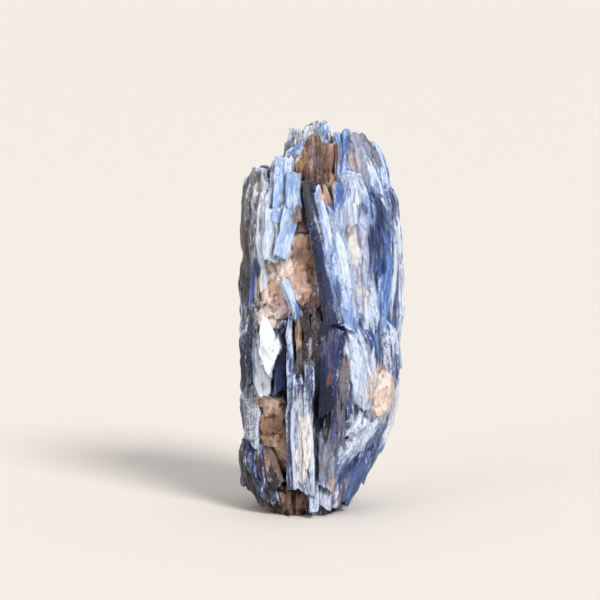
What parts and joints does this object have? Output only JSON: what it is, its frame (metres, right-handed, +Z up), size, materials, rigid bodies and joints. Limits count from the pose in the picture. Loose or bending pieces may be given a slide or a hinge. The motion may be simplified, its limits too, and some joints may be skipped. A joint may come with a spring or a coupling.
{
  "type": "kyanite blade cluster",
  "caption": "Free-standing upright specimen of intergrown blue kyanite blades round pockets of pinkish quartz, cut flat below to stand on a shelf.",
  "frame": {"origin": "on the flat resting face, below the middle of the cluster", "axes": "+Z up along the blades; the front with the quartz pocket faces -Y; +X is to the right seen from the front"},
  "size_m": [0.0681, 0.0589, 0.1541],
  "materials": {
    "kyanite": "pearly to glassy cleavage faces, finely striated",
    "quartz_front": "granular, glassy grains",
    "quartz_lower": "granular, glassy grains",
    "quartz_crown": "granular, glassy grains",
    "matrix": "rough, dull",
    "feldspar_seam": "granular, dull to pearly",
    "feldspar_patch": "granular, dull to pearly"
  },
  "bodies": {
    "root": {"kyanite_blades": "kyanite", "quartz_front_pocket": "quartz_front", "quartz_lower_pocket": "quartz_lower", "quartz_crown": "quartz_crown", "matrix_base_pocket": "matrix", "feldspar_seam": "feldspar_seam", "feldspar_patch": "feldspar_patch"}
  },
  "joints": []
}
